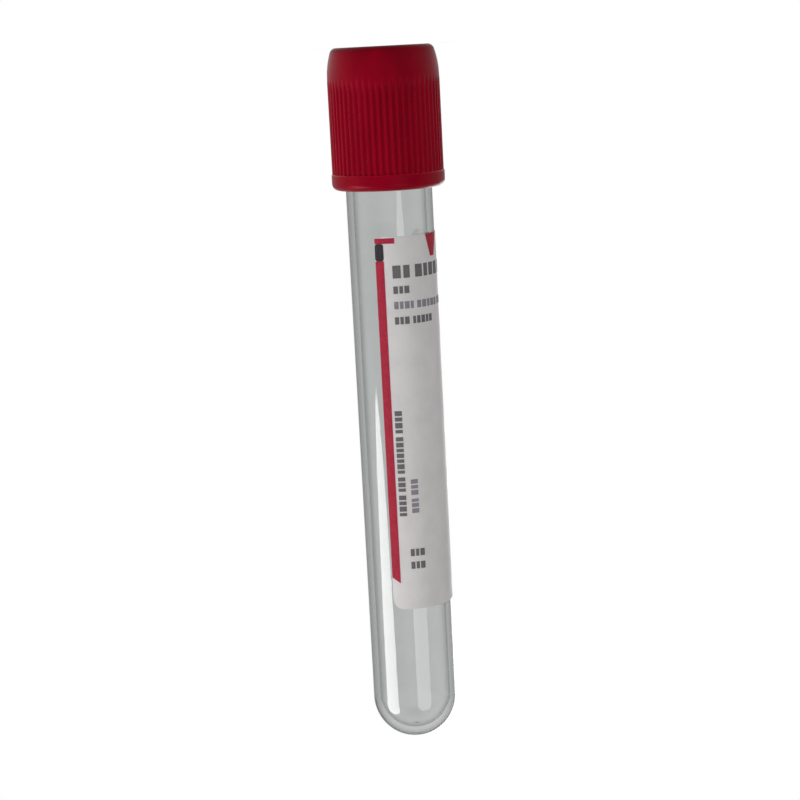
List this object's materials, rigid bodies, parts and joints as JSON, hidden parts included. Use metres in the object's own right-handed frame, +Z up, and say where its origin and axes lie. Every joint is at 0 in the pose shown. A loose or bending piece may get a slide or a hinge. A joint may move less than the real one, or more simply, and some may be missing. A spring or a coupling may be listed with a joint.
{
  "type": "blood collection tube",
  "caption": "Clear round-bottomed plastic tube with a wrapped label, a rubber stopper and a red ribbed safety cap that twists and pulls off, standing on its cap.",
  "frame": {"origin": "on the ground, on the tube's axis, in the middle of the flat top of the cap", "axes": "+Z up, from the cap to the round bottom; the front faces -Y and shows the label's left edge, from which the label runs round towards -X; turned upright, with the cap on top, the label reads the right way up and runs to the right"},
  "size_m": [0.017, 0.017, 0.107],
  "materials": {
    "tube_plastic": "clear, glossy, faintly grey-green polyester",
    "stopper_rubber": "matt butyl rubber",
    "cap_plastic": "satin deep red moulded plastic with fine ribs",
    "label_paper": "smooth off-white label paper",
    "red_ink": "crimson print",
    "dark_ink": "near-black print",
    "grey_ink": "grey print"
  },
  "bodies": {
    "cap_body": {"cap": "cap_plastic"},
    "stopper_body": {"stopper": "stopper_rubber"},
    "tube_body": {"tube": "tube_plastic", "label": "label_paper", "label_red_print": "red_ink", "label_dark_print": "dark_ink", "label_grey_print": "grey_ink"}
  },
  "joints": [
    {"name": "cap_twist", "type": "hinge", "parent": "cap_body", "child": "stopper_body", "pos_m": [0, 0, 0], "axis": [0, 0, 1], "continuous": true},
    {"name": "tube_pull", "type": "slide", "parent": "stopper_body", "child": "tube_body", "axis": [0, 0, 1], "range_m": [0, 0.04]}
  ]
}
